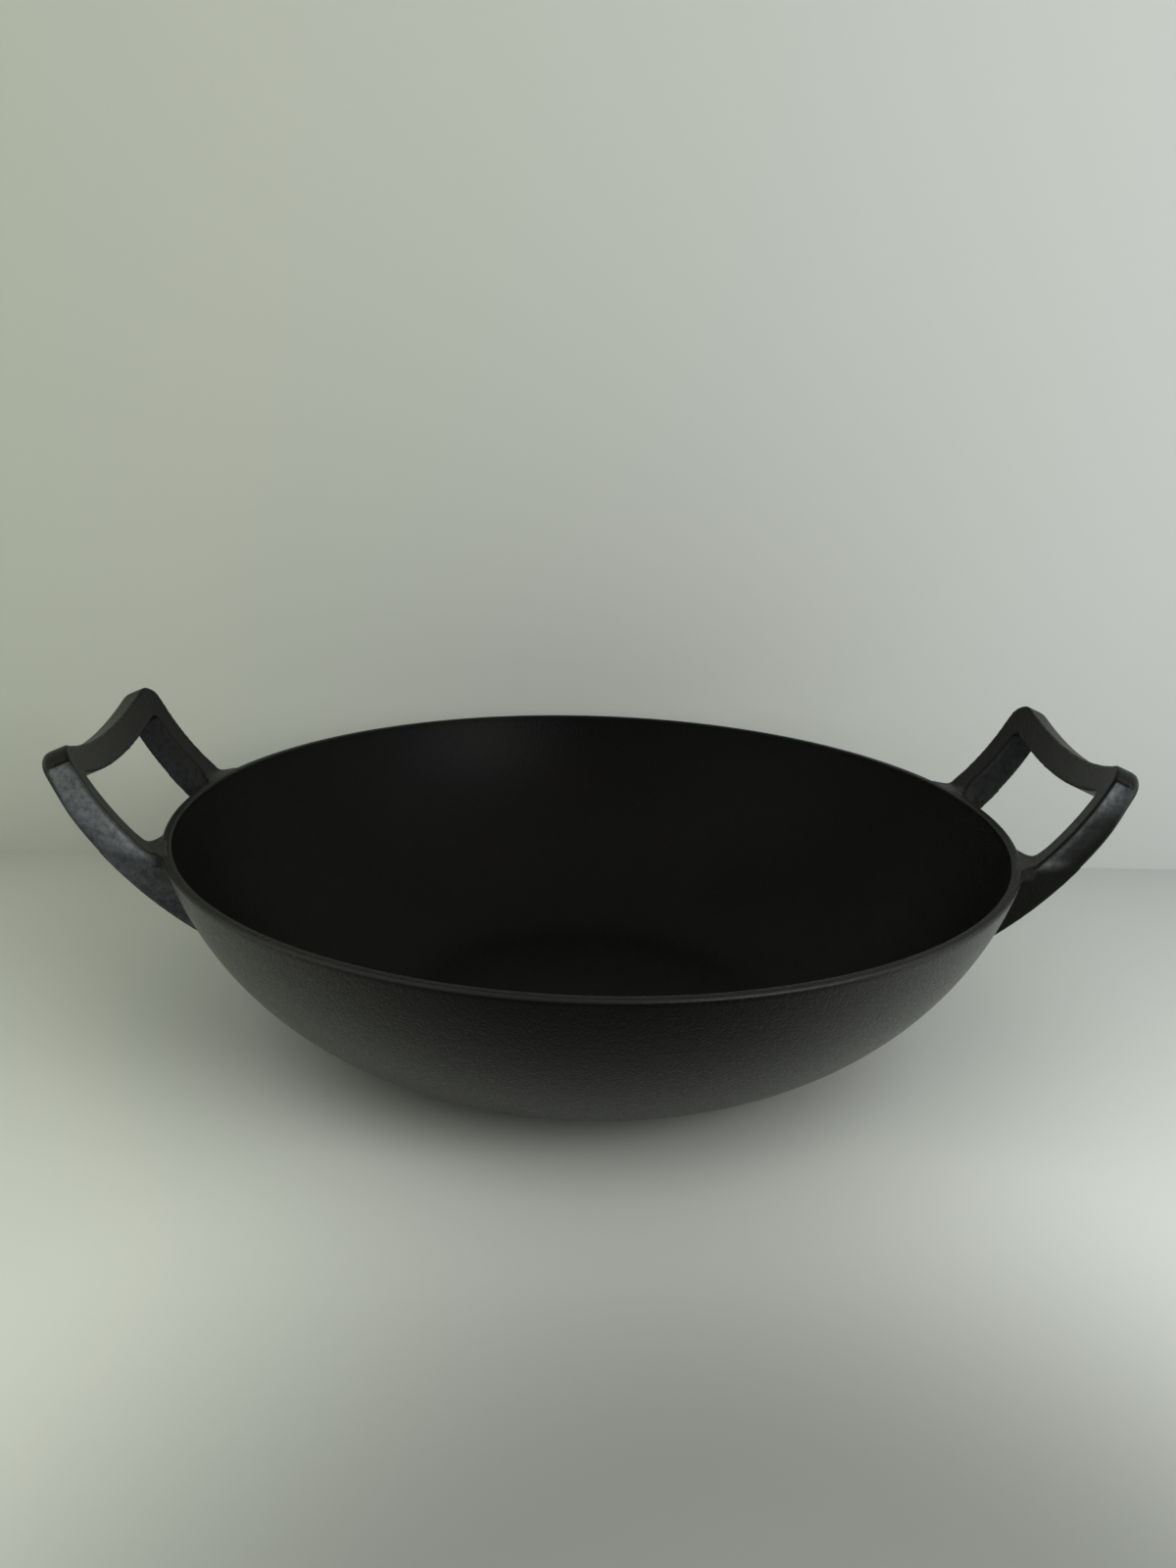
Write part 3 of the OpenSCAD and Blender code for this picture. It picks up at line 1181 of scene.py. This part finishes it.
        # Painted shade by the fold, and a lower painted tone behind the backdrop.
        past = graph.calculate("SUBTRACT", across.outputs[axis], fold)
        off = graph.calculate("ABSOLUTE", past)
        crease_shade = graph.ramp(off, 0, reach, dim, tone)
        rear_painted_dim = graph.ramp(past, 0, FOLD_WIDTH, 1, rear)
        level = graph.calculate("MULTIPLY", crease_shade, rear_painted_dim)
        scaled = graph.vector("SCALE", tint)
        strength = graph.calculate("MULTIPLY", painted_shadow, level)
        graph.links.new(strength, scaled.inputs["Scale"])
        graph.links.new(scaled.outputs["Vector"], board.inputs["Base Color"])

        behind = graph.nodes.new("ShaderNodeNewGeometry")
        clear = graph.nodes.new("ShaderNodeBsdfTransparent")
        seen = graph.nodes.new("ShaderNodeMixShader")
        graph.links.new(behind.outputs["Backfacing"], seen.inputs["Fac"])
        graph.links.new(board.outputs["BSDF"], seen.inputs[1])
        graph.links.new(clear.outputs["BSDF"], seen.inputs[2])
        surface = graph.nodes["Material Output"].inputs["Surface"]
        graph.links.new(seen.outputs["Shader"], surface)
        return mat


class WOK_PT_panel(bpy.types.Panel):
    """Lists the wok's pieces and sizes"""

    bl_label = "Wok"
    bl_idname = "WOK_PT_panel"
    bl_space_type = "VIEW_3D"
    bl_region_type = "UI"
    bl_category = "Wok"

    def draw(self, context):
        layout = self.layout
        for group, title in (
            ("wok_bowl", "Bowl"),
            ("wok_handle", "Handles"),
            ("wok_finish", "Finish"),
            ("wok_stage", "Stage"),
        ):
            box = layout.box()
            box.label(text=title)
            data = getattr(context.scene, group)
            for key in data.bl_rna.properties.keys():
                if key not in ("rna_type", "name"):
                    box.prop(data, key)
        for op in (WOK_OT_bowl, WOK_OT_handles, WOK_OT_stage):
            layout.operator(op.bl_idname)


CLASSES = (
    WokBowlSizes,
    WokHandleSizes,
    WokFinish,
    WokStage,
    WOK_OT_bowl,
    WOK_OT_handles,
    WOK_OT_stage,
    WOK_PT_panel,
)


def register():
    """Adds the classes and the scene's four groups of sizes."""
    for cls in CLASSES:
        bpy.utils.register_class(cls)
    bpy.types.Scene.wok_bowl = bpy.props.PointerProperty(type=WokBowlSizes)
    bpy.types.Scene.wok_handle = bpy.props.PointerProperty(type=WokHandleSizes)
    bpy.types.Scene.wok_finish = bpy.props.PointerProperty(type=WokFinish)
    bpy.types.Scene.wok_stage = bpy.props.PointerProperty(type=WokStage)


def unregister():
    """Removes the four groups of sizes and the classes."""
    for key in ("wok_bowl", "wok_handle", "wok_finish", "wok_stage"):
        delattr(bpy.types.Scene, key)
    for cls in reversed(CLASSES):
        bpy.utils.unregister_class(cls)


def main():
    """Builds every piece in order."""
    register()
    bpy.ops.wok.bowl()
    bpy.ops.wok.handles()
    bpy.ops.wok.stage()


if __name__ == "__main__":
    main()
